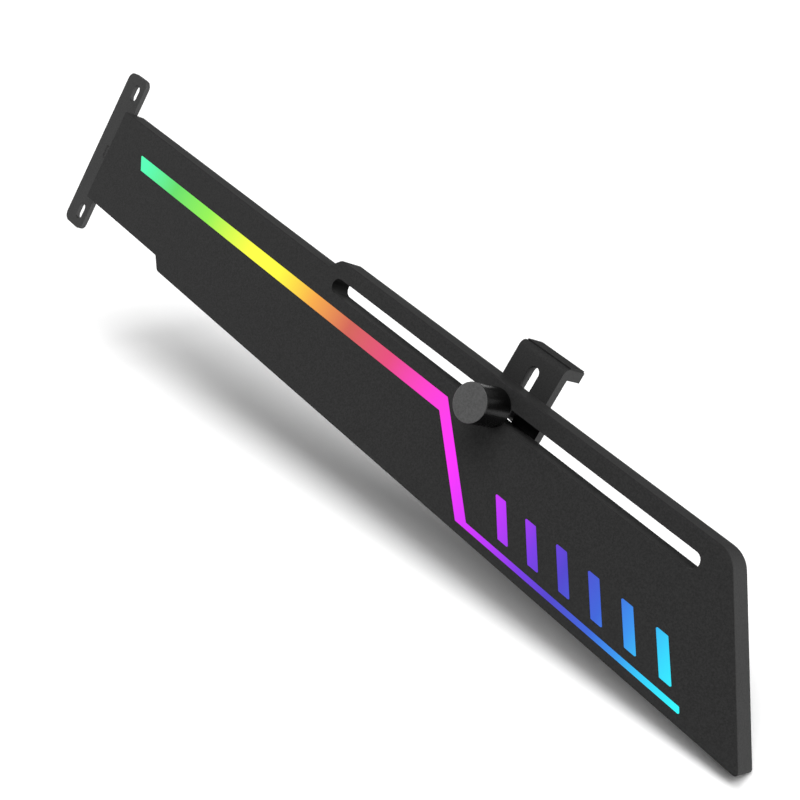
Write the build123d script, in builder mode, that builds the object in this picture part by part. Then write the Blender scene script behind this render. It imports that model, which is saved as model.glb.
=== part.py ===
from build123d import *
import os
from math import cos, radians, tan

os.makedirs("parts", exist_ok=True)

# A support bracket that is screwed to a computer case's slot covers and holds up a graphics card's free end.
# Millimetres. The bar runs along +X, its lit face looks along -Y, and +Z is up.
# The origin is midway between the two mounting slots, on the mounting plate's rear face.

# Mounting plate
slot_cover_pitch = 20.32            # between the screws of neighbouring slot covers
pitches_apart = 2
plate_width = 9.8
plate_height = 51.0
plate_thickness = 1.5
plate_corner = 2.4
plate_slot_width = 3.1
plate_slot_length = 5.2
plate_slot_inset = 6.0              # from the plate's left edge to the slots' centre line
plate_end_gap = 0.1                 # between the plate's right edge and the bar
cable_hole_width = 5.0
cable_hole_height = 4.0
cable_hole_inset = 0.5              # from the hole to the bar's left end
cable_hole_corner = 0.5
tongue_length = 12.0                # inside the bar
tongue_height = 22.0
tongue_clearance = 0.1
tongue_screw_inset = 7.0
tongue_screw_spacing = 14.0

# Bar, measured from its left end
bar_length = 259.3                  # to the sharp lower corner of the slanted end
left_height = 29.0
step_height = 3.4                   # the right part stands this much above and below the left part
bar_depth = 7.0
bar_rise = 0.4                      # the bar's centre line stands this much above the slots' centre
plate_set_back = 3.3                # from the bar's front face to the plate's front face
end_slant = 35.8                    # degrees from upright
top_step = 102.0
bottom_step = 40.3
step_inner_radius = 0.8
step_outer_radius = 2.0
top_end_radius = 6.5
bottom_end_radius = 0.8
left_corner_radius = 0.4
front_edge_radius = 0.35
wall = 1.5
face_wall = 1.5

# Clamp slot through the bar
clamp_slot_width = 4.0
clamp_slot_left = 106.3             # from the bar's left end
clamp_slot_right = 30.4             # from the bar's lower right corner
clamp_slot_drop = 6.2               # from the right part's top edge to the slot's middle
clamp_slot_wall = 1.5
clamp_slot_chamfer = 0.6

# Lit windows in the bar's face
window_corner = 0.3
stripe_start = 15.5
stripe_drop = 7.75                  # from the left part's top edge to the stripe
stripe_height = 3.9
stripe_bend_right = 104.4           # from the bar's lower right corner to the bend's upper corner
branch_slant = 46.0                 # degrees from upright
branch_width = 3.0
line_height = 1.4
line_rise = 2.25                    # from the right part's bottom edge to the thin line
line_end_right = 16.7
slat_count = 6
slat_start_right = 79.9
slat_pitch = 9.75
slat_width = 3.5
slat_height = 8.2
slat_slant = 38.7                   # degrees from upright
slat_gap = 1.95                     # from the thin line up to the slats

# Light guides, LED board and LEDs
guide_clearance = 0.05
guide_lip = 0.7
guide_base = 0.8
led_space = 1.0                     # from the guides' backs to the board
board_thickness = 0.8
board_margin = 0.4                  # the board stands this much past the windows' edges
board_end_margin = 6.0              # from the last slat to the board's right end
board_screw_clearance = 0.1
led_size = 2.0
led_height = 0.7
stripe_led_count = 16
branch_led_count = 3
line_led_count = 6
led_end_gap = 7.0                   # from a stripe's end to its first LED
connector_length = 5.0
connector_width = 3.6
connector_height = 1.4
connector_inset = 0.6               # from the board's left end
connector_mouth = 2.4
connector_wall = 0.3
board_tabs = [0.11, 0.54, 0.94]     # shares of the straight stripe's length
board_tab_width = 4.4
board_tab_drop = 2.9                # from the stripe's lower edge to the tabs' screws
slat_screw_left = 4.6               # from the first slat to the screw on its left
slat_screw_right = 4.5              # from the last slat to the screw on its right
slat_screw_drop = 2.0
board_post_radius = 1.5
board_screw_radius = 0.7
board_screw_head_radius = 1.3
board_screw_head = 0.5
board_screw_reach = 1.6
board_drive = 1.6                   # across the cross recess
board_drive_width = 0.35
board_drive_depth = 0.3

# Back cover and its countersunk screws
cover_thickness = 1.2
cover_clearance = 0.1
cover_screw_radius = 1.0
cover_screw_head_radius = 1.9
cover_screw_length = 4.6
cover_screw_clearance = 0.1
cover_screw_hole_spare = 0.4        # the hole is this much deeper than the screw
thread_clearance = 0.03
cover_drive = 1.2                   # across the flats of the screws' sockets
cover_drive_depth = 0.6
boss_radius = 2.0
upper_bosses = [20.0, 60.0, 97.0]   # from the bar's left end, under the left part's top edge
lower_bosses = [0.40, 0.71, 1.03]   # shares of the way from the bar's left end to the bend
middle_bosses_right = [64.3, 22.3]
boss_edge_gap = 0.6                 # between a boss and the cavity's wall
end_boss_inset = 9.6                # from the bar's lower right corner

# Cable grommet in the left end
grommet_lip = 1.0
grommet_lip_rise = 0.5
grommet_neck_height = 4.0
grommet_neck_depth = 1.7
grommet_cable_height = 2.8
grommet_cable_depth = 1.0
grommet_clearance = 0.05

# Screws of the mounting plate
plate_screw_radius = 1.25
plate_screw_head_radius = 2.2
plate_screw_head = 0.8
plate_screw_length = 3.9
plate_screw_clearance = 0.15
plate_drive = 2.6
plate_drive_width = 0.55
plate_drive_depth = 0.5
plate_boss_radius = 2.6

# Clamp: bush, bolt, washer, knob and its threaded insert
slide_gap = 0.1                     # the arm and the washer stand this far off the bar, so that they slide
bush_clearance = 0.05
bush_bore_clearance = 0.05
bush_end_gap = 0.1
bolt_radius = 1.5
bolt_end_chamfer = 0.3
bolt_head_radius = 2.8
bolt_head = 1.6
bolt_head_round = 0.6
neck_length = 4.2                   # the neck under the head is oval, so that the arm's slot holds it
neck_clearance = 0.05
neck_end_gap = 0.4
washer_radius = 3.5
washer_thickness = 0.6
knob_radius = 4.8
knob_length = 9.8
knob_face_gap = 0.1                 # the knob stands this far in front of the washer's rear face
knob_edge = 0.25
knob_recess_clearance = 0.1
insert_radius = 2.3
insert_length = 7.0
insert_groove = 0.25
insert_clearance = 0.02
insert_bore_clearance = 0.05
bolt_end_gap = 0.4                  # the bolt stops this short of the insert's far end

# Support arm, folded from sheet, and its pad
sheet = 2.7
arm_width = 14.6
arm_foot_width = 19.0               # the wider part that stays behind the bar
arm_top = 9.5                       # above the right part's top edge
arm_bottom = 2.0                    # above the right part's bottom edge
arm_shoulder = 2.3                  # below the right part's top edge
shelf_depth = 8.4                   # from the arm's front face to the shelf's rear edge
bend_radius = 1.6
bend_inner_radius = 0.3
arm_corner_radius = 1.2
shelf_corner_radius = 0.3
arm_slot_width = 3.3
arm_slot_top = 3.7                  # from the arm's top to its slot
arm_slot_bottom = 3.4               # from the arm's bottom to its slot
pad_thickness = 0.4
pad_front = 1.8                     # from the arm's front face to the pad
pad_inset = 0.2

# Levels along Y, from the front to the rear
plate_rear = 0.0
plate_front = plate_rear - plate_thickness
bar_front = plate_front - plate_set_back
bar_rear = bar_front + bar_depth
cavity_front = bar_front + face_wall
guide_rear = cavity_front + guide_base
board_front = guide_rear + led_space
board_rear = board_front + board_thickness
cover_front = bar_rear - cover_thickness
arm_front = bar_rear + slide_gap
arm_rear = arm_front + sheet
washer_rear = bar_front - slide_gap

# Places along X and Z
plate_left = -plate_slot_inset
plate_right = plate_left + plate_width
bar_left = plate_right + plate_end_gap
bar_right = bar_left + bar_length
right_height = left_height + 2 * step_height
left_top = left_height / 2
right_top = right_height / 2
end_run = right_height * tan(radians(end_slant))
clamp_slot_length = bar_length - clamp_slot_left - clamp_slot_right
clamp_x = bar_left + clamp_slot_left + clamp_slot_length / 2
clamp_z = right_top - clamp_slot_drop
stripe_start_x = bar_left + stripe_start
bend_x = bar_right - stripe_bend_right
line_end_x = bar_right - line_end_right
stripe_top = left_top - stripe_drop
stripe_bottom = stripe_top - stripe_height
line_bottom = line_rise - right_top
line_top = line_bottom + line_height
slat_bottom = line_top + slat_gap
slat_top = slat_bottom + slat_height
shelf_top = right_top + arm_top
shelf_underside = shelf_top - sheet
arm_foot = arm_bottom - right_top
bend_shift = tan(radians(branch_slant))     # along X for each millimetre down
end_shift = tan(radians(end_slant))
slat_shift = tan(radians(slat_slant))


def facing(y, rise=bar_rise):
    """The upright plane at depth y, whose local axes are X and Z. A negative extrusion goes to the rear."""
    return Plane(origin=(0, y, rise), x_dir=(1, 0, 0), z_dir=(0, -1, 0))


def across(x, rise=bar_rise):
    """The upright plane across the bar at x, whose local axes are Y and Z. An extrusion goes to the right."""
    return Plane(origin=(x, 0, rise), x_dir=(0, 1, 0), z_dir=(1, 0, 0))


def stripe_points():
    """The corners of the stripe, its slanted branch and the thin line, clockwise from the start's top."""
    branch_across = branch_width / cos(radians(branch_slant))
    outer = bend_x + (stripe_top - line_top) * bend_shift
    inner = bend_x + (stripe_top - line_bottom) * bend_shift - branch_across
    inner_bend = bend_x + stripe_height * bend_shift - branch_across
    return [
        (stripe_start_x, stripe_top),
        (bend_x, stripe_top),
        (outer, line_top),
        (line_end_x - line_height * end_shift, line_top),
        (line_end_x, line_bottom),
        (inner, line_bottom),
        (inner_bend, stripe_bottom),
        (stripe_start_x + stripe_height * end_shift, stripe_bottom),
    ]


def slat_points(number):
    """The corners of one slanted slat, counted from 0 at the left."""
    shift = slat_height * slat_shift
    left = bar_right - slat_start_right + number * slat_pitch
    return [
        (left, slat_top),
        (left + slat_width, slat_top),
        (left + slat_width + shift, slat_bottom),
        (left + shift, slat_bottom),
    ]


def boss_points():
    """The places of the cover's screw bosses in X and Z."""
    reach = wall + boss_radius + boss_edge_gap
    upper = [(bar_left + x, left_top - reach) for x in upper_bosses]
    lower = [(bar_left + share * (bend_x - bar_left), reach - right_top) for share in lower_bosses]
    middle = [(bar_right - x, (stripe_bottom + slat_top) / 2 + boss_radius) for x in middle_bosses_right]
    left = [(bar_left + upper_bosses[0], reach - left_top)]
    end = [(bar_right - end_boss_inset, line_top + boss_radius)]
    return upper + left + lower + middle + end


def board_screw_points():
    """The places of the LED board's screws in X and Z."""
    run = bend_x - stripe_start_x
    tabs = [(stripe_start_x + share * run, stripe_bottom - board_tab_drop) for share in board_tabs]
    left = slat_points(0)[0][0] - slat_screw_left
    right = slat_points(slat_count - 1)[1][0] + slat_screw_right
    return tabs + [(x, slat_top - slat_screw_drop) for x in (left, right)]


def plate_screw_points():
    """The places of the mounting plate's two screws in X and Z."""
    x = bar_left + tongue_screw_inset
    return [(x, -tongue_screw_spacing / 2), (x, tongue_screw_spacing / 2)]


def on_clamp(y):
    """The upright plane at depth y, centred on the clamp bolt."""
    return Plane(origin=(clamp_x, y, clamp_z + bar_rise), x_dir=(1, 0, 0), z_dir=(0, -1, 0))


# Outlines shared by the housing, the cavity and the cover, drawn in X and Z
with BuildSketch() as bar_outline:
    with BuildLine():
        Polyline(
            (bar_left, -left_top),
            (bar_left + bottom_step, -left_top),
            (bar_left + bottom_step + step_height, -right_top),
            (bar_right, -right_top),
            (bar_right - end_run, right_top),
            (bar_left + top_step + step_height, right_top),
            (bar_left + top_step, left_top),
            (bar_left, left_top),
            close=True,
        )
    make_face()
    corners = bar_outline.vertices()
    fillet(corners.filter_by_position(Axis.X, bar_left - 1, bar_left + 1), left_corner_radius)
    step_corners = bar_outline.vertices().filter_by_position(
        Axis.X, bar_left + bottom_step - 1, bar_left + top_step + step_height + 1
    )
    fillet(step_corners.filter_by(lambda v: abs(abs(v.Y) - left_top) < step_height / 2), step_inner_radius)
    step_corners = bar_outline.vertices().filter_by_position(
        Axis.X, bar_left + bottom_step + step_height - 0.01, bar_left + top_step + step_height + 0.01
    )
    fillet(step_corners.filter_by(lambda v: abs(abs(v.Y) - right_top) < 0.01), step_outer_radius)
    top_end = bar_outline.vertices().sort_by_distance((bar_right - end_run, right_top))[0]
    fillet(top_end, top_end_radius)
    bottom_end = bar_outline.vertices().sort_by_distance((bar_right, -right_top))[0]
    fillet(bottom_end, bottom_end_radius)

# The land round the clamp slot, from below the slot up to the bar's top wall
land_length = clamp_slot_length + 2 * clamp_slot_wall
land_bottom = clamp_z - clamp_slot_width / 2 - clamp_slot_wall
land_height = right_top - land_bottom

with BuildSketch() as cavity_outline:
    offset(bar_outline.sketch, amount=-wall, kind=Kind.INTERSECTION)
    with Locations((clamp_x, land_bottom)):
        Rectangle(land_length, land_height, align=(Align.CENTER, Align.MIN), mode=Mode.SUBTRACT)

with BuildSketch() as cover_outline:
    offset(cavity_outline.sketch, amount=-cover_clearance, kind=Kind.INTERSECTION)

with BuildSketch() as stripe_outline:
    with BuildLine():
        Polyline(*stripe_points(), close=True)
    make_face()
    fillet(stripe_outline.vertices(), window_corner)

with BuildSketch() as slats_outline:
    for number in range(slat_count):
        with BuildLine():
            Polyline(*slat_points(number), close=True)
        make_face()
    fillet(slats_outline.vertices(), window_corner)

# Front housing: the bar's face and walls in one piece, open to the rear
with BuildPart() as front_housing:
    with BuildSketch(facing(bar_front)):
        add(bar_outline.sketch)
    extrude(amount=-bar_depth)
    front_face = front_housing.faces().sort_by(Axis.Y)[0]
    fillet(front_face.outer_wire().edges(), front_edge_radius)
    with BuildSketch(facing(cavity_front)):
        add(cavity_outline.sketch)
    extrude(amount=-bar_depth, mode=Mode.SUBTRACT)
    with BuildSketch(facing(cavity_front)):
        with Locations(*boss_points()):
            Circle(boss_radius)
    extrude(amount=cavity_front - cover_front)
    with BuildSketch(facing(cavity_front)):
        with Locations(*board_screw_points()):
            Circle(board_post_radius)
    extrude(amount=cavity_front - board_front)
    with BuildSketch(facing(cavity_front)):
        with Locations(*plate_screw_points()):
            Circle(plate_boss_radius)
    extrude(amount=cavity_front - plate_front)
    with BuildSketch(facing(bar_front)):
        add(stripe_outline.sketch)
        add(slats_outline.sketch)
        with Locations((clamp_x, clamp_z)):
            SlotOverall(clamp_slot_length, clamp_slot_width)
    extrude(amount=-bar_depth, mode=Mode.SUBTRACT)
    slot_low = clamp_z + bar_rise - clamp_slot_width / 2
    slot_high = clamp_z + bar_rise + clamp_slot_width / 2
    slot_rim = front_housing.edges().filter_by_position(Axis.Y, bar_rear - 0.01, bar_rear + 0.01)
    slot_rim = slot_rim.filter_by_position(Axis.Z, slot_low - 0.01, slot_high + 0.01)
    slot_rim = slot_rim.filter_by_position(Axis.X, clamp_x - land_length / 2, clamp_x + land_length / 2)
    chamfer(slot_rim, clamp_slot_chamfer)
    with BuildSketch(facing(cover_front)):
        with Locations(*boss_points()):
            Circle(cover_screw_radius + thread_clearance)
    extrude(amount=cover_screw_length - cover_thickness + cover_screw_hole_spare, mode=Mode.SUBTRACT)
    with BuildSketch(facing(board_front)):
        with Locations(*board_screw_points()):
            Circle(board_screw_radius + thread_clearance)
    extrude(amount=board_screw_reach + thread_clearance, mode=Mode.SUBTRACT)
    with BuildSketch(facing(plate_front)):
        with Locations(*plate_screw_points()):
            Circle(plate_screw_radius + thread_clearance)
    extrude(amount=plate_screw_length - plate_thickness + thread_clearance, mode=Mode.SUBTRACT)
    # Opening in the left end for the plate's tongue, and one for the cable grommet in front of it
    with BuildSketch(across(bar_left)):
        with Locations(((plate_front + plate_rear) / 2, 0)):
            Rectangle(plate_thickness + 2 * tongue_clearance, tongue_height + 2 * tongue_clearance)
        with Locations((cavity_front + grommet_neck_depth / 2, -bar_rise)):
            Rectangle(
                grommet_neck_depth + 2 * grommet_clearance,
                grommet_neck_height + 2 * grommet_clearance,
            )
    extrude(amount=wall, mode=Mode.SUBTRACT)
front_housing.part.label = "front_housing"
export_step(front_housing.part, "parts/front_housing.step")

# Back cover, let into the housing's rear and screwed to its bosses
with BuildPart() as back_cover:
    with BuildSketch(facing(cover_front)):
        add(cover_outline.sketch)
        with Locations(*boss_points()):
            Circle(cover_screw_radius + cover_screw_clearance, mode=Mode.SUBTRACT)
    extrude(amount=-cover_thickness)
    with BuildSketch(facing(bar_rear)):
        with Locations(*boss_points()):
            Circle(cover_screw_head_radius + cover_screw_clearance)
    extrude(amount=cover_screw_head_radius - cover_screw_radius, taper=45, mode=Mode.SUBTRACT)
back_cover.part.label = "back_cover"
export_step(back_cover.part, "parts/back_cover.step")

# Countersunk screws of the cover
with BuildPart() as cover_screws:
    with BuildSketch(facing(bar_rear)):
        with Locations(*boss_points()):
            Circle(cover_screw_head_radius)
    extrude(amount=cover_screw_head_radius - cover_screw_radius, taper=45)
    with BuildSketch(facing(bar_rear)):
        with Locations(*boss_points()):
            Circle(cover_screw_radius)
    extrude(amount=cover_screw_length)
    with BuildSketch(facing(bar_rear)):
        with Locations(*boss_points()):
            RegularPolygon(cover_drive / 2, 6, major_radius=False)
    extrude(amount=cover_drive_depth, mode=Mode.SUBTRACT)
cover_screws.part.label = "cover_screws"
export_step(cover_screws.part, "parts/cover_screws.step")

# Light guide that fills the long stripe, its slanted branch and the thin line
with BuildPart() as stripe_light_guide:
    with BuildSketch(facing(cavity_front)):
        offset(stripe_outline.sketch, amount=guide_lip, kind=Kind.INTERSECTION)
    extrude(amount=-guide_base)
    with BuildSketch(facing(bar_front)):
        offset(stripe_outline.sketch, amount=-guide_clearance)
    extrude(amount=-face_wall)
stripe_light_guide.part.label = "stripe_light_guide"
export_step(stripe_light_guide.part, "parts/stripe_light_guide.step")

# Light guide whose slats fill the slanted windows
with BuildPart() as slat_light_guide:
    with BuildSketch(facing(cavity_front)):
        with BuildLine(mode=Mode.PRIVATE) as around_slats:
            first = slat_points(0)
            last = slat_points(slat_count - 1)
            Polyline(first[0], last[1], last[2], first[3], close=True)
        offset(make_face(around_slats.edges(), mode=Mode.PRIVATE), amount=guide_lip, kind=Kind.INTERSECTION)
    extrude(amount=-guide_base)
    with BuildSketch(facing(bar_front)):
        offset(slats_outline.sketch, amount=-guide_clearance)
    extrude(amount=-face_wall)
slat_light_guide.part.label = "slat_light_guide"
export_step(slat_light_guide.part, "parts/slat_light_guide.step")

# LED board behind the guides, on posts
branch_right = bend_x + (stripe_top - slat_top) * bend_shift
board_right = slat_points(slat_count - 1)[1][0] + board_end_margin
board_drop = slat_top - line_bottom + 2 * board_margin
board_low_left = stripe_points()[5][0]
with BuildPart() as led_board:
    with BuildSketch(facing(board_front)):
        offset(stripe_outline.sketch, amount=board_margin, kind=Kind.INTERSECTION)
        with BuildLine():
            Polyline(
                (branch_right, slat_top + board_margin),
                (board_right, slat_top + board_margin),
                (board_right + board_drop * end_shift, line_bottom - board_margin),
                (board_low_left, line_bottom - board_margin),
                close=True,
            )
        make_face()
        with Locations(*board_screw_points()[: len(board_tabs)]):
            Rectangle(board_tab_width, board_tab_width)
            with Locations((0, board_tab_drop / 2)):
                Rectangle(board_tab_width, board_tab_drop)
        with Locations(*board_screw_points()):
            Circle(board_screw_radius + board_screw_clearance, mode=Mode.SUBTRACT)
    extrude(amount=-board_thickness)
led_board.part.label = "led_board"
export_step(led_board.part, "parts/led_board.step")


def led_points():
    """The places of the LEDs in X and Z: along the stripe, down the branch, behind the slats and the line."""
    middle = (stripe_top + stripe_bottom) / 2
    start = stripe_start_x + led_end_gap
    pitch = (bend_x - stripe_start_x - 1.5 * led_end_gap) / (stripe_led_count - 1)
    stripe = [(start + number * pitch, middle) for number in range(stripe_led_count)]
    corners = stripe_points()
    upper = ((corners[1][0] + corners[6][0]) / 2, middle)
    lower = ((corners[2][0] + corners[5][0]) / 2, (line_top + line_bottom) / 2)
    branch = []
    for number in range(branch_led_count):
        part = (number + 1) / (branch_led_count + 1)
        branch.append((upper[0] + part * (lower[0] - upper[0]), middle + part * (lower[1] - middle)))
    slats = []
    for number in range(slat_count):
        slat_middle = slat_points(number)[0][0] + (slat_width + slat_height * slat_shift) / 2
        slats.append((slat_middle, slat_top - slat_height / 2))
    line_pitch = (corners[3][0] - lower[0] - led_end_gap) / line_led_count
    line = [(lower[0] + led_end_gap + number * line_pitch, lower[1]) for number in range(line_led_count)]
    return stripe + branch + slats + line


with BuildPart() as led_chips:
    with BuildSketch(facing(board_front)):
        with Locations(*led_points()):
            Rectangle(led_size, led_size)
    extrude(amount=led_height)
led_chips.part.label = "led_chips"
export_step(led_chips.part, "parts/led_chips.step")

# Socket of the lighting cable on the board's rear, with its mouth to the left
connector_left = stripe_start_x + connector_inset
with BuildPart() as board_connector:
    with BuildSketch(facing(board_rear)):
        with Locations((connector_left, (stripe_top + stripe_bottom) / 2)):
            Rectangle(connector_length, connector_width, align=(Align.MIN, Align.CENTER))
    extrude(amount=-connector_height)
    with BuildSketch(across(connector_left)):
        with Locations((board_rear + connector_height / 2, (stripe_top + stripe_bottom) / 2)):
            Rectangle(connector_height - 2 * connector_wall, connector_width - 2 * connector_wall)
    extrude(amount=connector_mouth, mode=Mode.SUBTRACT)
board_connector.part.label = "board_connector"
export_step(board_connector.part, "parts/board_connector.step")

# Screws that hold the board to its posts
with BuildPart() as board_screws:
    with BuildSketch(facing(board_rear)):
        with Locations(*board_screw_points()):
            Circle(board_screw_head_radius)
    extrude(amount=-board_screw_head)
    with BuildSketch(facing(board_rear)):
        with Locations(*board_screw_points()):
            Circle(board_screw_radius)
    extrude(amount=board_thickness + board_screw_reach)
    with BuildSketch(facing(board_rear + board_screw_head)):
        with Locations(*board_screw_points()):
            Rectangle(board_drive, board_drive_width)
            Rectangle(board_drive_width, board_drive)
    extrude(amount=board_drive_depth, mode=Mode.SUBTRACT)
board_screws.part.label = "board_screws"
export_step(board_screws.part, "parts/board_screws.step")

# Mounting plate, whose tongue lies inside the bar
with BuildPart() as mounting_plate:
    with BuildSketch(facing(plate_front, 0)):
        with Locations(((plate_left + plate_right) / 2, 0)):
            RectangleRounded(plate_width, plate_height, plate_corner)
        with Locations((plate_left + plate_width / 2, bar_rise)):
            Rectangle(
                bar_left + tongue_length - plate_left - plate_width / 2,
                tongue_height,
                align=(Align.MIN, Align.CENTER),
            )
        with GridLocations(1, slot_cover_pitch * pitches_apart, 1, 2):
            SlotOverall(plate_slot_length, plate_slot_width, rotation=90, mode=Mode.SUBTRACT)
        with Locations((bar_left - cable_hole_inset - cable_hole_width / 2, 0)):
            RectangleRounded(cable_hole_width, cable_hole_height, cable_hole_corner, mode=Mode.SUBTRACT)
        with Locations(*[(x, z + bar_rise) for x, z in plate_screw_points()]):
            Circle(plate_screw_radius + plate_screw_clearance, mode=Mode.SUBTRACT)
    extrude(amount=-plate_thickness)
mounting_plate.part.label = "mounting_plate"
export_step(mounting_plate.part, "parts/mounting_plate.step")

# Screws that hold the plate's tongue to the housing
with BuildPart() as mounting_plate_screws:
    with BuildSketch(facing(plate_rear)):
        with Locations(*plate_screw_points()):
            Circle(plate_screw_head_radius)
    extrude(amount=-plate_screw_head)
    with BuildSketch(facing(plate_rear)):
        with Locations(*plate_screw_points()):
            Circle(plate_screw_radius)
    extrude(amount=plate_screw_length)
    with BuildSketch(facing(plate_rear + plate_screw_head)):
        with Locations(*plate_screw_points()):
            Rectangle(plate_drive, plate_drive_width)
            Rectangle(plate_drive_width, plate_drive)
    extrude(amount=plate_drive_depth, mode=Mode.SUBTRACT)
mounting_plate_screws.part.label = "mounting_plate_screws"
export_step(mounting_plate_screws.part, "parts/mounting_plate_screws.step")

# Rubber grommet that the lighting cable leaves through
grommet_middle = cavity_front + grommet_neck_depth / 2
with BuildPart() as cable_grommet:
    with BuildSketch(across(bar_left, 0)):
        with Locations((grommet_middle, 0)):
            Rectangle(grommet_neck_depth, grommet_neck_height)
    extrude(amount=wall)
    with BuildSketch(across(bar_left, 0)):
        with Locations((cavity_front + grommet_neck_depth, 0)):
            Rectangle(
                grommet_neck_depth + grommet_lip_rise,
                grommet_neck_height + 2 * grommet_lip_rise,
                align=(Align.MAX, Align.CENTER),
            )
    extrude(amount=-grommet_lip)
    with BuildSketch(across(bar_left + wall, 0)):
        with Locations((grommet_middle, 0)):
            Rectangle(grommet_neck_depth, grommet_neck_height + 2 * grommet_lip_rise)
    extrude(amount=grommet_lip)
    with BuildSketch(across(bar_left - grommet_lip, 0)):
        with Locations((grommet_middle, 0)):
            SlotOverall(grommet_cable_height, grommet_cable_depth, rotation=90)
    extrude(amount=wall + 2 * grommet_lip, mode=Mode.SUBTRACT)
cable_grommet.part.label = "cable_grommet"
export_step(cable_grommet.part, "parts/cable_grommet.step")

# Bush that runs along the clamp slot and keeps the bolt off the housing
with BuildPart() as slot_bush:
    with BuildSketch(on_clamp(bar_front + bush_end_gap)):
        Circle(clamp_slot_width / 2 - bush_clearance)
    extrude(amount=2 * bush_end_gap - bar_depth)
    with BuildSketch(on_clamp(bar_front)):
        Circle(bolt_radius + bush_bore_clearance)
    extrude(amount=-bar_depth, mode=Mode.SUBTRACT)
slot_bush.part.label = "slot_bush"
export_step(slot_bush.part, "parts/slot_bush.step")

# Clamp bolt: a round head behind the arm, an oval neck in the arm's slot, and a threaded shank
knob_rear = washer_rear - knob_face_gap
insert_rear = washer_rear - washer_thickness
insert_front = insert_rear - insert_length
neck_front = arm_front + neck_end_gap
with BuildPart() as clamp_bolt:
    with BuildSketch(on_clamp(arm_rear)):
        Circle(bolt_head_radius)
    extrude(amount=-bolt_head)
    fillet(clamp_bolt.faces().sort_by(Axis.Y)[-1].edges(), bolt_head_round)
    with BuildSketch(on_clamp(neck_front)):
        SlotOverall(neck_length, arm_slot_width - 2 * neck_clearance, rotation=90)
    extrude(amount=neck_front - arm_rear)
    with BuildSketch(on_clamp(insert_front + bolt_end_gap)):
        Circle(bolt_radius)
    extrude(amount=insert_front + bolt_end_gap - neck_front)
    chamfer(clamp_bolt.faces().sort_by(Axis.Y)[0].edges(), bolt_end_chamfer)
clamp_bolt.part.label = "clamp_bolt"
export_step(clamp_bolt.part, "parts/clamp_bolt.step")

# Washer between the knob and the bar
with BuildPart() as knob_washer:
    with BuildSketch(on_clamp(insert_rear)):
        Circle(washer_radius)
    extrude(amount=-washer_thickness)
    with BuildSketch(on_clamp(insert_rear)):
        Circle(bolt_radius + insert_bore_clearance)
    extrude(amount=-washer_thickness, mode=Mode.SUBTRACT)
knob_washer.part.label = "knob_washer"
export_step(knob_washer.part, "parts/knob_washer.step")

# Knob, with a recess for the washer and a blind hole for its insert
with BuildPart() as knob:
    with BuildSketch(on_clamp(knob_rear - knob_length)):
        Circle(knob_radius)
    extrude(amount=-knob_length)
    fillet(knob.edges().filter_by(GeomType.CIRCLE), knob_edge)
    with BuildSketch(on_clamp(insert_rear)):
        Circle(washer_radius + knob_recess_clearance)
    extrude(amount=insert_rear - knob_rear, mode=Mode.SUBTRACT)
    with BuildSketch(on_clamp(insert_rear)):
        Circle(insert_radius + insert_clearance)
    extrude(amount=insert_length + knob_face_gap, mode=Mode.SUBTRACT)
knob.part.label = "knob"
export_step(knob.part, "parts/knob.step")

# Brass insert with the thread, held in the knob and waisted so that the knob grips it
with BuildPart() as knob_insert:
    with BuildSketch(on_clamp(insert_front)):
        Circle(insert_radius)
    extrude(amount=-insert_length)
    with BuildSketch(on_clamp(insert_rear - insert_length / 3)):
        Circle(insert_radius + insert_groove)
        Circle(insert_radius - insert_groove, mode=Mode.SUBTRACT)
    extrude(amount=insert_length / 3, mode=Mode.SUBTRACT)
    with BuildSketch(on_clamp(insert_rear)):
        Circle(bolt_radius + insert_bore_clearance)
    extrude(amount=insert_length, mode=Mode.SUBTRACT)
knob_insert.part.label = "knob_insert"
export_step(knob_insert.part, "parts/knob_insert.step")

# Support arm: one folded sheet, with a shelf for the card on top and a long slot for the clamp bolt
shelf_rear = arm_front + shelf_depth
shoulder = right_top - arm_shoulder
with BuildPart() as support_arm:
    with BuildSketch(across(clamp_x)) as arm_section:
        with BuildLine():
            Polyline(
                (arm_front, arm_foot),
                (arm_rear, arm_foot),
                (arm_rear, shelf_underside),
                (shelf_rear, shelf_underside),
                (shelf_rear, shelf_top),
                (arm_front, shelf_top),
                close=True,
            )
        make_face()
        fillet(arm_section.vertices().sort_by_distance((arm_front, shelf_top))[0], bend_radius)
        fillet(arm_section.vertices().sort_by_distance((arm_rear, shelf_underside))[0], bend_inner_radius)
    extrude(amount=arm_foot_width / 2, both=True)
    with BuildSketch(facing(arm_front)) as arm_outline:
        with Locations((clamp_x, arm_foot)):
            Rectangle(arm_foot_width, shoulder - arm_foot, align=(Align.CENTER, Align.MIN))
            Rectangle(arm_width, shelf_top - arm_foot, align=(Align.CENTER, Align.MIN))
        between = (arm_width + arm_foot_width) / 4
        rounded = arm_outline.vertices().filter_by(lambda v: abs(v.X - clamp_x) > between)
        fillet(rounded, arm_corner_radius)
        with Locations((clamp_x, arm_foot + arm_slot_bottom)):
            with Locations((0, (shelf_top - arm_slot_top - arm_foot - arm_slot_bottom) / 2)):
                SlotOverall(
                    shelf_top - arm_slot_top - arm_foot - arm_slot_bottom,
                    arm_slot_width,
                    rotation=90,
                    mode=Mode.SUBTRACT,
                )
    extrude(amount=-shelf_depth, mode=Mode.INTERSECT)
    upright = support_arm.edges().filter_by(Axis.Z)
    fillet(upright.filter_by_position(Axis.Y, shelf_rear - 0.01, shelf_rear + 0.01), shelf_corner_radius)
support_arm.part.label = "support_arm"
export_step(support_arm.part, "parts/support_arm.step")

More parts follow.
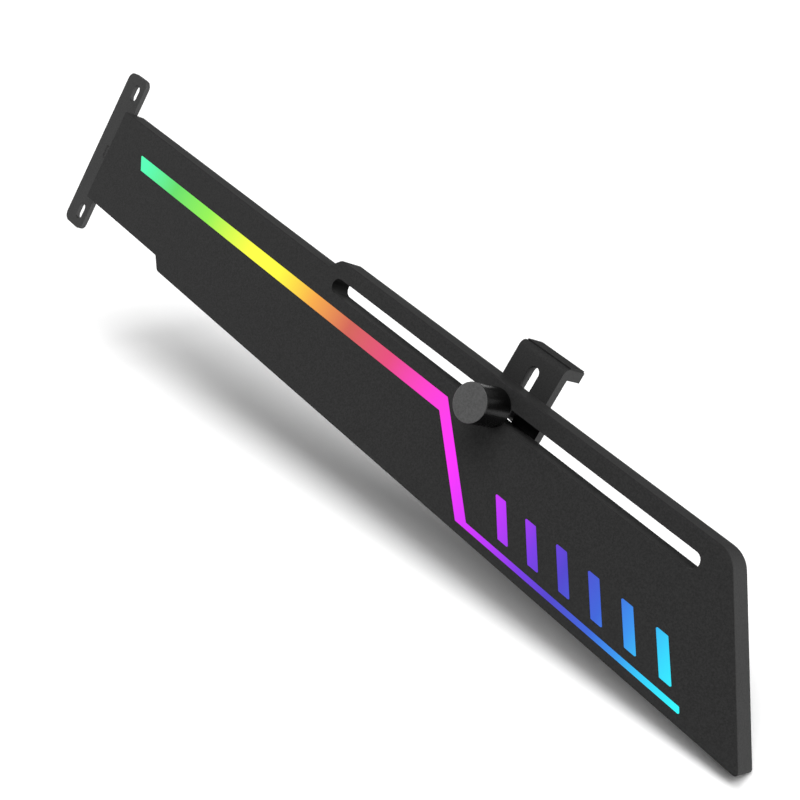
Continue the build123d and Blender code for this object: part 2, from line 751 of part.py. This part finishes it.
# Soft pad on the shelf
pad_depth = shelf_rear - pad_inset - arm_front - pad_front
with BuildPart() as arm_pad:
    with BuildSketch(Plane.XY.offset(shelf_top + bar_rise)):
        with Locations((clamp_x, arm_front + pad_front + pad_depth / 2)):
            RectangleRounded(arm_width - 2 * pad_inset, pad_depth, shelf_corner_radius)
    extrude(amount=pad_thickness)
arm_pad.part.label = "arm_pad"
export_step(arm_pad.part, "parts/arm_pad.step")
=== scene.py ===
import math

import bpy
from mathutils import Matrix, Vector


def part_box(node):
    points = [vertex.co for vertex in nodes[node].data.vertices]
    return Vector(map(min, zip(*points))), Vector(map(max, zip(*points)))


bl_info = {
    "name": "Card Support Bracket",
    "version": (1, 0, 0),
    "blender": (4, 5, 0),
    "location": "View3D > Sidebar > Card Support",
    "description": "Dresses the lit bar, its clamp and its folded arm, and sets up a white studio",
    "category": "Object",
}

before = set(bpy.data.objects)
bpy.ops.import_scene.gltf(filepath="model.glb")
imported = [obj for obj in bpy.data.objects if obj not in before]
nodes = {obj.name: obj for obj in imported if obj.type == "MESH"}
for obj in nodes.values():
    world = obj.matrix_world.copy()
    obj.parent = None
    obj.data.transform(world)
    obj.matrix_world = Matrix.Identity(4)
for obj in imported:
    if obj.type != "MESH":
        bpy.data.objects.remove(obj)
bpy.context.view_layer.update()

bar_low, bar_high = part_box("front_housing")
knob_low, knob_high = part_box("knob")
clamp_x = (knob_low.x + knob_high.x) / 2
clamp_z = (knob_low.z + knob_high.z) / 2

# The gap in metres between the floor and the bar's lowest corner
FLOOR_GAP = 0.0003

# How deep in metres the knob's lighter front face reaches, and how far its speckles differ
KNOB_FACE_DEPTH = 0.0001
KNOB_SPECKLE = 0.18

# Fine grain: how much finer its second layer is, each layer's share, the limits between
# which it turns into speckles, and how far the roughness goes up and down with it
GRAIN_RATIO = 2.7
GRAIN_SHARES = (0.6, 0.4)
SPECKLE_LIMITS = (0.36, 0.64)
GRAIN_ROUGHNESS = 0.06

# Turned rings: a full turn in radians, their unevenness, depth, shade and roughness
FULL_TURN = 6.283
RING_UNEVENNESS = 900.0
RING_DEPTH = 0.000008
RING_SHADE = 0.2
RING_ROUGHNESS = 0.05

# Colours of pieces that come in one colour only
BUSH_NYLON = (0.03, 0.03, 0.03)
CONNECTOR_BODY = (0.72, 0.7, 0.62)
GUIDE_BODY = (0.01, 0.01, 0.01)
LED_BODY = (0.8, 0.8, 0.78)
PAPER_WHITE = (0.97, 0.97, 0.97)

# Each part of the main light: its place along the bar, as a share of the light's spread,
# and how far it leans to the front
KEY_PARTS = ((-0.3, 0.0), (0.45, 0.0), (1.2, 0.0), (0.3, 0.5))

# Apparent size of the side light, and the fill light's place, aim and size
SIDE_ANGLE = math.radians(30)
FILL_PLACE = Vector((-0.35, -0.32, -0.06))
FILL_AIM = Vector((0.04, 0.0, 0.0))
FILL_SIZE = 0.4

# The camera's sensor in millimetres, and the nearest and furthest distance that it sees
SENSOR_WIDTH = 36.0
CLIP_START = 0.01
CLIP_END = 200.0

# The colour of the lit windows at each place along the bar, in metres
WINDOW_COLOURS = (
    (0.0235, (0.05, 0.96, 0.44)),
    (0.0400, (0.09, 0.70, 0.10)),
    (0.0575, (0.27, 0.87, 0.05)),
    (0.0780, (0.97, 0.98, 0.02)),
    (0.0920, (0.98, 0.93, 0.02)),
    (0.1070, (0.92, 0.38, 0.035)),
    (0.1220, (0.63, 0.10, 0.07)),
    (0.1380, (0.79, 0.05, 0.19)),
    (0.1520, (0.98, 0.03, 0.60)),
    (0.1680, (1.0, 0.015, 0.99)),
    (0.1870, (0.50, 0.02, 0.95)),
    (0.1990, (0.18, 0.03, 0.79)),
    (0.2080, (0.07, 0.045, 0.61)),
    (0.2200, (0.035, 0.12, 0.70)),
    (0.2280, (0.03, 0.29, 0.87)),
    (0.2370, (0.02, 0.67, 0.98)),
    (0.2460, (0.02, 0.97, 1.0)),
)


# Settings that a user would change


class BracketColours(bpy.types.PropertyGroup):
    """Colours and gloss of the bracket's pieces"""

    bar: bpy.props.FloatVectorProperty(
        name="Bar",
        description="Anodised face and walls of the bar",
        subtype="COLOR",
        size=3,
        min=0.0,
        max=1.0,
        default=(0.0223, 0.0223, 0.0223),
    )
    # Painted shade: the dark colour that the bar takes on its faces left of the clamp that turn to
    # the right, such as the clamp slot's left end
    slot_end_painted_shade: bpy.props.FloatVectorProperty(
        name="Painted Slot Shade",
        description="Shaded left end of the bar's clamp slot",
        subtype="COLOR",
        size=3,
        min=0.0,
        max=1.0,
        default=(0.0015, 0.0015, 0.0015),
    )
    cover: bpy.props.FloatVectorProperty(
        name="Back Cover",
        description="Black finish of the cover on the bar's back",
        subtype="COLOR",
        size=3,
        min=0.0,
        max=1.0,
        default=(0.0235, 0.0235, 0.0235),
    )
    arm: bpy.props.FloatVectorProperty(
        name="Arm",
        description="Black finish of the folded arm",
        subtype="COLOR",
        size=3,
        min=0.0,
        max=1.0,
        default=(0.0245, 0.0245, 0.0245),
    )
    plate: bpy.props.FloatVectorProperty(
        name="Mounting Plate",
        description="Black finish of the mounting plate",
        subtype="COLOR",
        size=3,
        min=0.0,
        max=1.0,
        default=(0.0305, 0.0305, 0.0305),
    )
    knob: bpy.props.FloatVectorProperty(
        name="Knob",
        description="Blasted metal of the knob's front face",
        subtype="COLOR",
        size=3,
        min=0.0,
        max=1.0,
        default=(0.058, 0.058, 0.058),
    )
    knob_side: bpy.props.FloatVectorProperty(
        name="Knob Side",
        description="Black finish of the knob's side",
        subtype="COLOR",
        size=3,
        min=0.0,
        max=1.0,
        default=(0.002, 0.002, 0.002),
    )
    steel: bpy.props.FloatVectorProperty(
        name="Steel",
        description="Bright steel of the board's screws",
        subtype="COLOR",
        size=3,
        min=0.0,
        max=1.0,
        default=(0.56, 0.56, 0.57),
    )
    bolt: bpy.props.FloatVectorProperty(
        name="Black Screws",
        description="Blackened steel of the bolt, the washer and the screws",
        subtype="COLOR",
        size=3,
        min=0.0,
        max=1.0,
        default=(0.035, 0.034, 0.033),
    )
    brass: bpy.props.FloatVectorProperty(
        name="Brass",
        description="Brass of the knob's insert",
        subtype="COLOR",
        size=3,
        min=0.0,
        max=1.0,
        default=(0.75, 0.5, 0.2),
    )
    rubber: bpy.props.FloatVectorProperty(
        name="Rubber",
        description="Rubber of the pad and the grommet",
        subtype="COLOR",
        size=3,
        min=0.0,
        max=1.0,
        default=(0.012, 0.012, 0.012),
    )
    board: bpy.props.FloatVectorProperty(
        name="Board",
        description="Solder resist of the board behind the windows",
        subtype="COLOR",
        size=3,
        min=0.0,
        max=1.0,
        default=(0.7, 0.72, 0.7),
    )
    bar_roughness: bpy.props.FloatProperty(
        name="Bar Roughness",
        description="How dull the bar's anodised surface is",
        subtype="FACTOR",
        min=0.0,
        max=1.0,
        default=0.5,
    )
    glow: bpy.props.FloatProperty(
        name="Window Glow",
        description="Strength of the light in the bar's windows",
        min=0.0,
        max=10.0,
        default=1.0,
    )


class BracketStudio(bpy.types.PropertyGroup):
    """Floor, lights and camera"""

    floor_size: bpy.props.FloatProperty(
        name="Floor Size",
        description="Length and width of the white floor",
        subtype="DISTANCE",
        unit="LENGTH",
        min=1.0,
        default=30.0,
    )
    floor_up: bpy.props.FloatVectorProperty(
        name="Floor Up",
        description="The direction straight up from the floor, on which the bar's right end rests",
        subtype="DIRECTION",
        size=3,
        default=(-0.19, -0.468, 0.863),
    )
    floor_glow: bpy.props.FloatProperty(
        name="Floor Glow",
        description="Light that the floor itself gives, which keeps the shadow from going black",
        min=0.0,
        default=0.03,
    )
    key_strength: bpy.props.FloatProperty(
        name="Main Light",
        description="Strength of the soft light above the floor",
        min=0.0,
        default=3.8,
    )
    key_angle: bpy.props.FloatProperty(
        name="Main Light Angle",
        description="Apparent size of the main light, which softens the shadow",
        subtype="ANGLE",
        unit="ROTATION",
        min=0.0,
        default=math.radians(32),
    )
    key_from: bpy.props.FloatVectorProperty(
        name="Main Light From",
        description="The direction that the main light comes from",
        subtype="DIRECTION",
        size=3,
        default=(-0.186, -0.6, 0.778),
    )
    key_spread: bpy.props.FloatProperty(
        name="Main Light Spread",
        description="How far the main light reaches along the bar, to each side",
        subtype="ANGLE",
        unit="ROTATION",
        default=math.radians(26),
    )
    side_strength: bpy.props.FloatProperty(
        name="Side Light",
        description="Strength of the light from behind at the right, which leaves the floor out",
        min=0.0,
        default=7.5,
    )
    side_from: bpy.props.FloatVectorProperty(
        name="Side Light From",
        description="The direction that the side light comes from",
        subtype="DIRECTION",
        size=3,
        default=(0.85, 0.5, 0.08),
    )
    fill_power: bpy.props.FloatProperty(
        name="Fill Light",
        description="Power of the light at the front left",
        subtype="POWER",
        unit="POWER",
        min=0.0,
        default=2.3,
    )
    ambient: bpy.props.FloatProperty(
        name="Ambient",
        description="Strength of the even light from all around",
        min=0.0,
        default=0.12,
    )
    camera_place: bpy.props.FloatVectorProperty(
        name="Camera Place",
        description="Where the camera stands",
        subtype="TRANSLATION",
        unit="LENGTH",
        size=3,
        default=(0.325789, -0.250111, 0.076337),
    )
    camera_aim: bpy.props.FloatVectorProperty(
        name="Camera Aim",
        description="The point on the bar that the camera looks at",
        subtype="TRANSLATION",
        unit="LENGTH",
        size=3,
        default=(0.147013, -0.0048, -0.000939),
    )
    camera_roll: bpy.props.FloatProperty(
        name="Camera Roll",
        description="How far the camera's right side is turned up",
        subtype="ANGLE",
        unit="ROTATION",
        default=math.radians(29.09),
    )
    camera_lens: bpy.props.FloatProperty(
        name="Camera Lens",
        description="Focal length on a 36 mm sensor, in millimetres",
        subtype="DISTANCE_CAMERA",
        min=10.0,
        default=57.84,
    )


# Node helpers for the finishes


def new_group(name, inputs, outputs):
    """A shader node group with its named inputs and outputs"""
    group = bpy.data.node_groups.new(name, "ShaderNodeTree")
    for label, kind, value in inputs:
        socket = group.interface.new_socket(label, in_out="INPUT", socket_type=kind)
        socket.default_value = value
    for label, kind in outputs:
        group.interface.new_socket(label, in_out="OUTPUT", socket_type=kind)
    start = group.nodes.new("NodeGroupInput")
    end = group.nodes.new("NodeGroupOutput")
    return group, start, end


def maths(tree, operation, first, second):
    """A Math node whose two inputs are numbers or other nodes' outputs"""
    node = tree.nodes.new("ShaderNodeMath")
    node.operation = operation
    for socket, value in zip(node.inputs, (first, second)):
        if isinstance(value, (int, float)):
            socket.default_value = value
        else:
            tree.links.new(value, socket)
    return node.outputs[0]


def noise(tree, place, scale, detail):
    """A Noise Texture whose scale is a number or another node's output"""
    node = tree.nodes.new("ShaderNodeTexNoise")
    node.inputs["Detail"].default_value = detail
    if isinstance(scale, (int, float)):
        node.inputs["Scale"].default_value = scale
    else:
        tree.links.new(scale, node.inputs["Scale"])
    tree.links.new(place, node.inputs["Vector"])
    return node.outputs["Fac"]


def separate(tree, vector):
    """The X, Y and Z outputs of a vector"""
    node = tree.nodes.new("ShaderNodeSeparateXYZ")
    tree.links.new(vector, node.inputs[0])
    return node.outputs


def fine_grain_group():
    """The grain of a blasted or coated surface: a height, a speckle mask and a slow clouding"""
    if "fine_grain" in bpy.data.node_groups:
        return bpy.data.node_groups["fine_grain"]
    group, start, end = new_group(
        "fine_grain",
        [("Grain Scale", "NodeSocketFloat", 2600.0), ("Cloud Scale", "NodeSocketFloat", 60.0)],
        [
            ("Height", "NodeSocketFloat"),
            ("Speckle", "NodeSocketFloat"),
            ("Cloud", "NodeSocketFloat"),
        ],
    )
    place = group.nodes.new("ShaderNodeTexCoord").outputs["Object"]
    grain = noise(group, place, start.outputs["Grain Scale"], 3.0)
    finer = maths(group, "MULTIPLY", start.outputs["Grain Scale"], GRAIN_RATIO)
    fine = noise(group, place, finer, 1.0)
    cloud = noise(group, place, start.outputs["Cloud Scale"], 2.0)
    shares = [
        maths(group, "MULTIPLY", layer, share)
        for layer, share in zip((grain, fine), GRAIN_SHARES)
    ]
    both = maths(group, "ADD", *shares)
    spread = group.nodes.new("ShaderNodeMapRange")
    spread.inputs["From Min"].default_value = SPECKLE_LIMITS[0]
    spread.inputs["From Max"].default_value = SPECKLE_LIMITS[1]
    group.links.new(both, spread.inputs["Value"])
    group.links.new(both, end.inputs["Height"])
    group.links.new(spread.outputs[0], end.inputs["Speckle"])
    group.links.new(cloud, end.inputs["Cloud"])
    return group


def turned_rings_group():
    """Fine rings that a lathe leaves round an axis along Y"""
    if "turned_rings" in bpy.data.node_groups:
        return bpy.data.node_groups["turned_rings"]
    group, start, end = new_group(
        "turned_rings",
        [
            ("Centre X", "NodeSocketFloat", 0.0),
            ("Centre Z", "NodeSocketFloat", 0.0),
            ("Rings", "NodeSocketFloat", 4000.0),
        ],
        [("Height", "NodeSocketFloat"), ("Mask", "NodeSocketFloat")],
    )
    place = group.nodes.new("ShaderNodeTexCoord").outputs["Object"]
    apart = separate(group, place)
    across = maths(group, "SUBTRACT", apart["X"], start.outputs["Centre X"])
    up = maths(group, "SUBTRACT", apart["Z"], start.outputs["Centre Z"])
    squares = [maths(group, "MULTIPLY", side, side) for side in (across, up)]
    reach = maths(group, "SQRT", maths(group, "ADD", *squares), 0.0)
    along = maths(group, "ADD", reach, apart["Y"])
    turns = maths(group, "MULTIPLY", start.outputs["Rings"], FULL_TURN)
    ring = maths(group, "SINE", maths(group, "MULTIPLY", along, turns), 0.0)
    height = maths(group, "MULTIPLY", ring, noise(group, place, RING_UNEVENNESS, 2.0))
    mask = maths(group, "ADD", maths(group, "MULTIPLY", height, 0.5), 0.5)
    group.links.new(height, end.inputs["Height"])
    group.links.new(mask, end.inputs["Mask"])
    return group


def window_colours_group():
    """The colours of the light behind the windows, which change only along the bar"""
    if "window_colours" in bpy.data.node_groups:
        return bpy.data.node_groups["window_colours"]
    group, _, end = new_group("window_colours", [], [("Colour", "NodeSocketColor")])
    apart = separate(group, group.nodes.new("ShaderNodeTexCoord").outputs["Object"])
    first, last = WINDOW_COLOURS[0][0], WINDOW_COLOURS[-1][0]
    share = group.nodes.new("ShaderNodeMapRange")
    share.inputs["From Min"].default_value = first
    share.inputs["From Max"].default_value = last
    group.links.new(apart["X"], share.inputs["Value"])
    ramp = group.nodes.new("ShaderNodeValToRGB")
    stops = ramp.color_ramp.elements
    while len(stops) < len(WINDOW_COLOURS):
        stops.new(0.5)
    for stop, (along, colour) in zip(stops, WINDOW_COLOURS):
        stop.position = (along - first) / (last - first)
        stop.color = (*colour, 1.0)
    group.links.new(share.outputs[0], ramp.inputs[0])
    group.links.new(ramp.outputs["Color"], end.inputs["Colour"])
    return group


def new_material(name, metallic, specular):
    """A material with its Principled shader, and the shader's node"""
    material = bpy.data.materials.new(name)
    material.use_nodes = True
    shader = material.node_tree.nodes["Principled BSDF"]
    shader.inputs["Metallic"].default_value = metallic
    shader.inputs["Specular IOR Level"].default_value = specular
    return material, shader


def add_group(tree, group, **values):
    """A group's node in a material, with its own values"""
    node = tree.nodes.new("ShaderNodeGroup")
    node.node_tree = group
    for label, value in values.items():
        node.inputs[label.replace("_", " ")].default_value = value
    return node


def mix(tree, mask, first, second):
    """A Mix node that goes from one colour to another with a mask"""
    node = tree.nodes.new("ShaderNodeMix")
    node.data_type = "RGBA"
    tree.links.new(mask, node.inputs[0])
    for socket, colour in zip(node.inputs[6:8], (first, second)):
        if isinstance(colour, bpy.types.NodeSocket):
            tree.links.new(colour, socket)
        else:
            socket.default_value = (*colour, 1.0)
    return node.outputs[2]


def tint(tree, mask, colour, spread):
    """A Mix node that goes from a colour's darker to its lighter shade with a mask"""
    dark = [part * (1 - spread) for part in colour]
    light = [min(1.0, part * (1 + spread)) for part in colour]
    return mix(tree, mask, dark, light)


def span(tree, mask, low, high):
    """A Map Range node that turns a mask into a value between two limits"""
    node = tree.nodes.new("ShaderNodeMapRange")
    node.inputs["To Min"].default_value = low
    node.inputs["To Max"].default_value = high
    tree.links.new(mask, node.inputs["Value"])
    return node.outputs[0]


def bump(tree, shader, height, distance):
    """A Bump node from a height to the shader's normal"""
    node = tree.nodes.new("ShaderNodeBump")
    node.inputs["Strength"].default_value = 1.0
    node.inputs["Distance"].default_value = distance
    tree.links.new(height, node.inputs["Height"])
    tree.links.new(node.outputs["Normal"], shader.inputs["Normal"])


def grained(name, colour, specular, roughness, spread=0.2, scale=2600.0, depth=0.00001):
    """A blasted, anodised or coated finish with its fine grain"""
    material, shader = new_material(name, 0.0, specular)
    tree = material.node_tree
    grain = add_group(tree, fine_grain_group(), Grain_Scale=scale)
    base = tint(tree, grain.outputs["Speckle"], colour, spread)
    limits = roughness - GRAIN_ROUGHNESS, roughness + GRAIN_ROUGHNESS
    tree.links.new(base, shader.inputs["Base Color"])
    tree.links.new(span(tree, grain.outputs["Cloud"], *limits), shader.inputs["Roughness"])
    bump(tree, shader, grain.outputs["Height"], depth)
    return material


def turned(name, colour, metallic, roughness, rings, centre=(0.0, 0.0)):
    """A turned metal finish with rings about an axis along Y"""
    material, shader = new_material(name, metallic, 0.5)
    tree = material.node_tree
    marks = add_group(
        tree, turned_rings_group(), Centre_X=centre[0], Centre_Z=centre[1], Rings=rings
    )
    base = tint(tree, marks.outputs["Mask"], colour, RING_SHADE)
    limits = roughness - RING_ROUGHNESS, roughness + RING_ROUGHNESS
    tree.links.new(base, shader.inputs["Base Color"])
    tree.links.new(span(tree, marks.outputs["Mask"], *limits), shader.inputs["Roughness"])
    bump(tree, shader, marks.outputs["Height"], RING_DEPTH)
    return material


def glowing_window(name, glow):
    """A milky light guide that glows in the window colours"""
    material, shader = new_material(name, 0.0, 0.08)
    tree = material.node_tree
    light = add_group(tree, window_colours_group())
    grain = add_group(tree, fine_grain_group(), Grain_Scale=1800.0)
    shader.inputs["Base Color"].default_value = (*GUIDE_BODY, 1.0)
    tree.links.new(light.outputs["Colour"], shader.inputs["Emission Color"])
    shader.inputs["Emission Strength"].default_value = glow
    tree.links.new(span(tree, grain.outputs["Cloud"], 0.4, 0.6), shader.inputs["Roughness"])
    return material


def dress(node, material):
    """Gives a CAD node its finish in every material slot"""
    slots = nodes[node].material_slots
    if not slots:
        raise RuntimeError(f"{node} has no material slot")
    for place in slots:
        place.material = material


# Pieces


class BRACKET_OT_bar(bpy.types.Operator):
    """Finish the bar's housing, its back cover and the cover's screws"""

    bl_idname = "bracket.bar"
    bl_label = "Bar"

    def execute(self, context):
        colours = context.scene.bracket_colours
        dress("front_housing", self.bar_metal_with_painted_shade(colours))
        dress("back_cover", grained("cover_finish", colours.cover, 0.008, 0.55))
        dress("cover_screws", turned("black_screws", colours.bolt, 0.6, 0.4, 5000.0))
        return {"FINISHED"}

    def bar_metal_with_painted_shade(self, colours):
        """The bar's finish, with painted shade on its faces left of the clamp that turn to the
        right, such as the clamp slot's left end
        """
        material = grained("anodised_bar_with_painted_shade", colours.bar, 0.003, colours.bar_roughness)
        tree = material.node_tree
        base = tree.nodes["Principled BSDF"].inputs["Base Color"]
        place = tree.nodes.new("ShaderNodeTexCoord").outputs
        # Painted shade: left of the clamp, faces that turn to the right go over to the slot end
        # colour
        at_left = maths(tree, "LESS_THAN", separate(tree, place["Object"])["X"], clamp_x)
        to_right = separate(tree, place["Normal"])["X"]
        mask = maths(tree, "MULTIPLY", to_right, at_left)
        tree.links.new(mix(tree, mask, base.links[0].from_socket, colours.slot_end_painted_shade), base)
        return material


class BRACKET_OT_windows(bpy.types.Operator):
    """Light the stripe and the slats"""

    bl_idname = "bracket.windows"
    bl_label = "Lit Windows"

    def execute(self, context):
        window = glowing_window("lit_guide", context.scene.bracket_colours.glow)
        dress("stripe_light_guide", window)
        dress("slat_light_guide", window)
        return {"FINISHED"}


class BRACKET_OT_board(bpy.types.Operator):
    """Finish the board behind the windows, its LEDs, connector and screws"""

    bl_idname = "bracket.board"
    bl_label = "LED Board"

    def execute(self, context):
        colours = context.scene.bracket_colours
        resist = grained("board_resist", colours.board, 0.5, 0.35, spread=0.06, scale=900.0)
        dress("led_board", resist)
        dress("led_chips", grained("led_body", LED_BODY, 0.5, 0.4, spread=0.05))
        connector = grained("connector_body", CONNECTOR_BODY, 0.5, 0.45, spread=0.06)
        dress("board_connector", connector)
        dress("board_screws", turned("bright_screws", colours.steel, 1.0, 0.3, 5000.0))
        return {"FINISHED"}


class BRACKET_OT_mount(bpy.types.Operator):
    """Finish the mounting plate, its screws and the cable grommet"""

    bl_idname = "bracket.mount"
    bl_label = "Mounting Plate"

    def execute(self, context):
        colours = context.scene.bracket_colours
        dress("mounting_plate", grained("plate_finish", colours.plate, 0.008, 0.55))
        screws = turned("black_plate_screws", colours.bolt, 0.6, 0.4, 5000.0)
        dress("mounting_plate_screws", screws)
        dress("cable_grommet", grained("grommet_rubber", colours.rubber, 0.3, 0.7))
        return {"FINISHED"}


class BRACKET_OT_clamp(bpy.types.Operator):
    """Finish the bush, the bolt, the washer, the knob and its insert"""

    bl_idname = "bracket.clamp"
    bl_label = "Clamp"

    def execute(self, context):
        colours = context.scene.bracket_colours
        centre = (clamp_x, clamp_z)
        dress("slot_bush", grained("bush_nylon", BUSH_NYLON, 0.4, 0.55, spread=0.15))
        dress("clamp_bolt", turned("black_bolt", colours.bolt, 0.6, 0.38, 4000.0, centre))
        washer = turned("black_washer", colours.bolt, 0.6, 0.4, 3000.0, centre)
        dress("knob_washer", washer)
        dress("knob", self.knob_metal(colours))
        insert = turned("brass_insert", colours.brass, 1.0, 0.3, 3000.0, centre)
        dress("knob_insert", insert)
        return {"FINISHED"}

    def knob_metal(self, colours):
        """Black sides, and a front face that was blasted and is a shade lighter"""
        material = grained(
            "knob_metal", colours.knob_side, 0.07, 0.26, spread=0.5, depth=0.000015
        )
        tree = material.node_tree
        base = tree.nodes["Principled BSDF"].inputs["Base Color"]
        grain = add_group(tree, fine_grain_group(), Grain_Scale=2200.0)
        face = tint(tree, grain.outputs["Speckle"], colours.knob, KNOB_SPECKLE)
        place = tree.nodes.new("ShaderNodeTexCoord").outputs["Object"]
        face_end = knob_low.y + KNOB_FACE_DEPTH
        front = maths(tree, "LESS_THAN", separate(tree, place)["Y"], face_end)
        tree.links.new(mix(tree, front, base.links[0].from_socket, face), base)
        return material


class BRACKET_OT_arm(bpy.types.Operator):
    """Finish the folded arm and the pad on its shelf"""

    bl_idname = "bracket.arm"
    bl_label = "Support Arm"

    def execute(self, context):
        colours = context.scene.bracket_colours
        dress("support_arm", grained("arm_finish", colours.arm, 0.004, 0.55))
        rubber = grained("pad_rubber", colours.rubber, 0.05, 0.9, spread=0.25, scale=1600.0)
        dress("arm_pad", rubber)
        return {"FINISHED"}


class BRACKET_OT_stage(bpy.types.Operator):
    """Set the white floor, the lights, the world and the camera"""

    bl_idname = "bracket.stage"
    bl_label = "Studio"

    def execute(self, context):
        studio = context.scene.bracket_studio
        self.make_floor(studio)
        self.make_lights(studio)
        self.make_world(context, studio)
        self.make_camera(context, studio)
        context.scene.view_settings.view_transform = "Standard"
        return {"FINISHED"}

    def make_floor(self, studio):
        """One large flat floor under the bar's lower right corner, seen only from above"""
        bpy.ops.object.select_all(action="DESELECT")
        up = Vector(studio.floor_up).normalized()
        middle = Vector((bar_high.x, bar_high.y, bar_low.z)) - up * FLOOR_GAP
        tilt = up.to_track_quat("Z", "Y").to_euler()
        bpy.ops.mesh.primitive_plane_add(size=studio.floor_size, location=middle, rotation=tilt)
        floor = bpy.context.object
        bpy.ops.object.transform_apply(location=True, rotation=True)
        floor.name = "studio_floor"
        paper = grained("floor_paper", PAPER_WHITE, 0.1, 0.9, spread=0.01)
        tree = paper.node_tree
        shader = tree.nodes["Principled BSDF"]
        shader.inputs["Emission Color"].default_value = (1.0, 1.0, 1.0, 1.0)
        shader.inputs["Emission Strength"].default_value = studio.floor_glow
        clear = tree.nodes.new("ShaderNodeBsdfTransparent")
        back = tree.nodes.new("ShaderNodeNewGeometry").outputs["Backfacing"]
        choice = tree.nodes.new("ShaderNodeMixShader")
        tree.links.new(back, choice.inputs[0])
        tree.links.new(shader.outputs[0], choice.inputs[1])
        tree.links.new(clear.outputs[0], choice.inputs[2])
        tree.links.new(choice.outputs[0], tree.nodes["Material Output"].inputs["Surface"])
        floor.data.materials.append(paper)

    def add_lamp(self, name, kind, strength, towards):
        """A lamp of one kind that shines from a direction"""
        light = bpy.data.lights.new(name, kind)
        light.energy = strength
        lamp = bpy.data.objects.new(name, light)
        lamp.rotation_euler = towards.to_track_quat("Z", "Y").to_euler()
        bpy.context.scene.collection.objects.link(lamp)
        return lamp

    def make_lights(self, studio):
        """A soft main light above the floor, and a side and a fill light without the floor"""
        middle = Vector(studio.key_from).normalized()
        for share, lean in KEY_PARTS:
            towards = middle + Vector((math.tan(share * studio.key_spread), -lean, 0.0))
            strength = studio.key_strength / len(KEY_PARTS)
            key = self.add_lamp("key_light", "SUN", strength, towards)
            key.data.angle = studio.key_angle
        left_out = bpy.data.collections.new("lit_by_the_main_light_only")
        left_out.objects.link(bpy.data.objects["studio_floor"])
        left_out.collection_objects[0].light_linking.link_state = "EXCLUDE"
        towards = Vector(studio.side_from)
        side = self.add_lamp("side_light", "SUN", studio.side_strength, towards)
        side.data.angle = SIDE_ANGLE
        side.light_linking.receiver_collection = left_out
        side.light_linking.blocker_collection = left_out
        towards = FILL_PLACE - FILL_AIM
        fill = self.add_lamp("fill_light", "AREA", studio.fill_power, towards)
        fill.data.size = FILL_SIZE
        fill.location = FILL_PLACE
        fill.light_linking.receiver_collection = left_out

    def make_world(self, context, studio):
        """White where the camera, a gloss or glass looks, and a weak even light elsewhere"""
        world = bpy.data.worlds.new("studio_world")
        context.scene.world = world
        world.use_nodes = True
        tree = world.node_tree
        background = tree.nodes["Background"]
        background.inputs["Color"].default_value = (1.0, 1.0, 1.0, 1.0)
        path = tree.nodes.new("ShaderNodeLightPath")
        camera, glossy = path.outputs["Is Camera Ray"], path.outputs["Is Glossy Ray"]
        seen = maths(tree, "MAXIMUM", camera, glossy)
        seen = maths(tree, "MAXIMUM", seen, path.outputs["Is Transmission Ray"])
        strength = tree.nodes.new("ShaderNodeMapRange")
        strength.inputs["To Min"].default_value = studio.ambient
        strength.inputs["To Max"].default_value = 1.0
        tree.links.new(seen, strength.inputs["Value"])
        tree.links.new(strength.outputs[0], background.inputs["Strength"])

    def make_camera(self, context, studio):
        """The photograph's view of the bar"""
        data = bpy.data.cameras.new("photo_camera")
        data.lens = studio.camera_lens
        data.sensor_width = SENSOR_WIDTH
        data.clip_start = CLIP_START
        data.clip_end = CLIP_END
        camera = bpy.data.objects.new("photo_camera", data)
        place, aim = Vector(studio.camera_place), Vector(studio.camera_aim)
        turn = (place - aim).to_track_quat("Z", "Y").to_matrix()
        turn = turn @ Matrix.Rotation(studio.camera_roll, 3, "Z")
        camera.matrix_world = Matrix.Translation(place) @ turn.to_4x4()
        context.scene.collection.objects.link(camera)
        context.scene.camera = camera


class BRACKET_PT_panel(bpy.types.Panel):
    """Lists the bracket's pieces and their settings"""

    bl_label = "Card Support Bracket"
    bl_idname = "BRACKET_PT_panel"
    bl_space_type = "VIEW_3D"
    bl_region_type = "UI"
    bl_category = "Card Support"

    def draw(self, context):
        layout = self.layout
        for step in STEPS:
            layout.operator(step.bl_idname)
        for group in ("bracket_colours", "bracket_studio"):
            settings = getattr(context.scene, group)
            box = layout.box()
            for label in settings.bl_rna.properties.keys():
                if label not in ("rna_type", "name"):
                    box.prop(settings, label)


STEPS = (
    BRACKET_OT_bar,
    BRACKET_OT_windows,
    BRACKET_OT_board,
    BRACKET_OT_mount,
    BRACKET_OT_clamp,
    BRACKET_OT_arm,
    BRACKET_OT_stage,
)
CLASSES = (BracketColours, BracketStudio, *STEPS, BRACKET_PT_panel)


def register():
    for kind in CLASSES:
        bpy.utils.register_class(kind)
    bpy.types.Scene.bracket_colours = bpy.props.PointerProperty(type=BracketColours)
    bpy.types.Scene.bracket_studio = bpy.props.PointerProperty(type=BracketStudio)


def unregister():
    del bpy.types.Scene.bracket_studio
    del bpy.types.Scene.bracket_colours
    for kind in reversed(CLASSES):
        bpy.utils.unregister_class(kind)


def main():
    register()
    bpy.ops.bracket.bar()
    bpy.ops.bracket.windows()
    bpy.ops.bracket.board()
    bpy.ops.bracket.mount()
    bpy.ops.bracket.clamp()
    bpy.ops.bracket.arm()
    bpy.ops.bracket.stage()


if __name__ == "__main__":
    main()
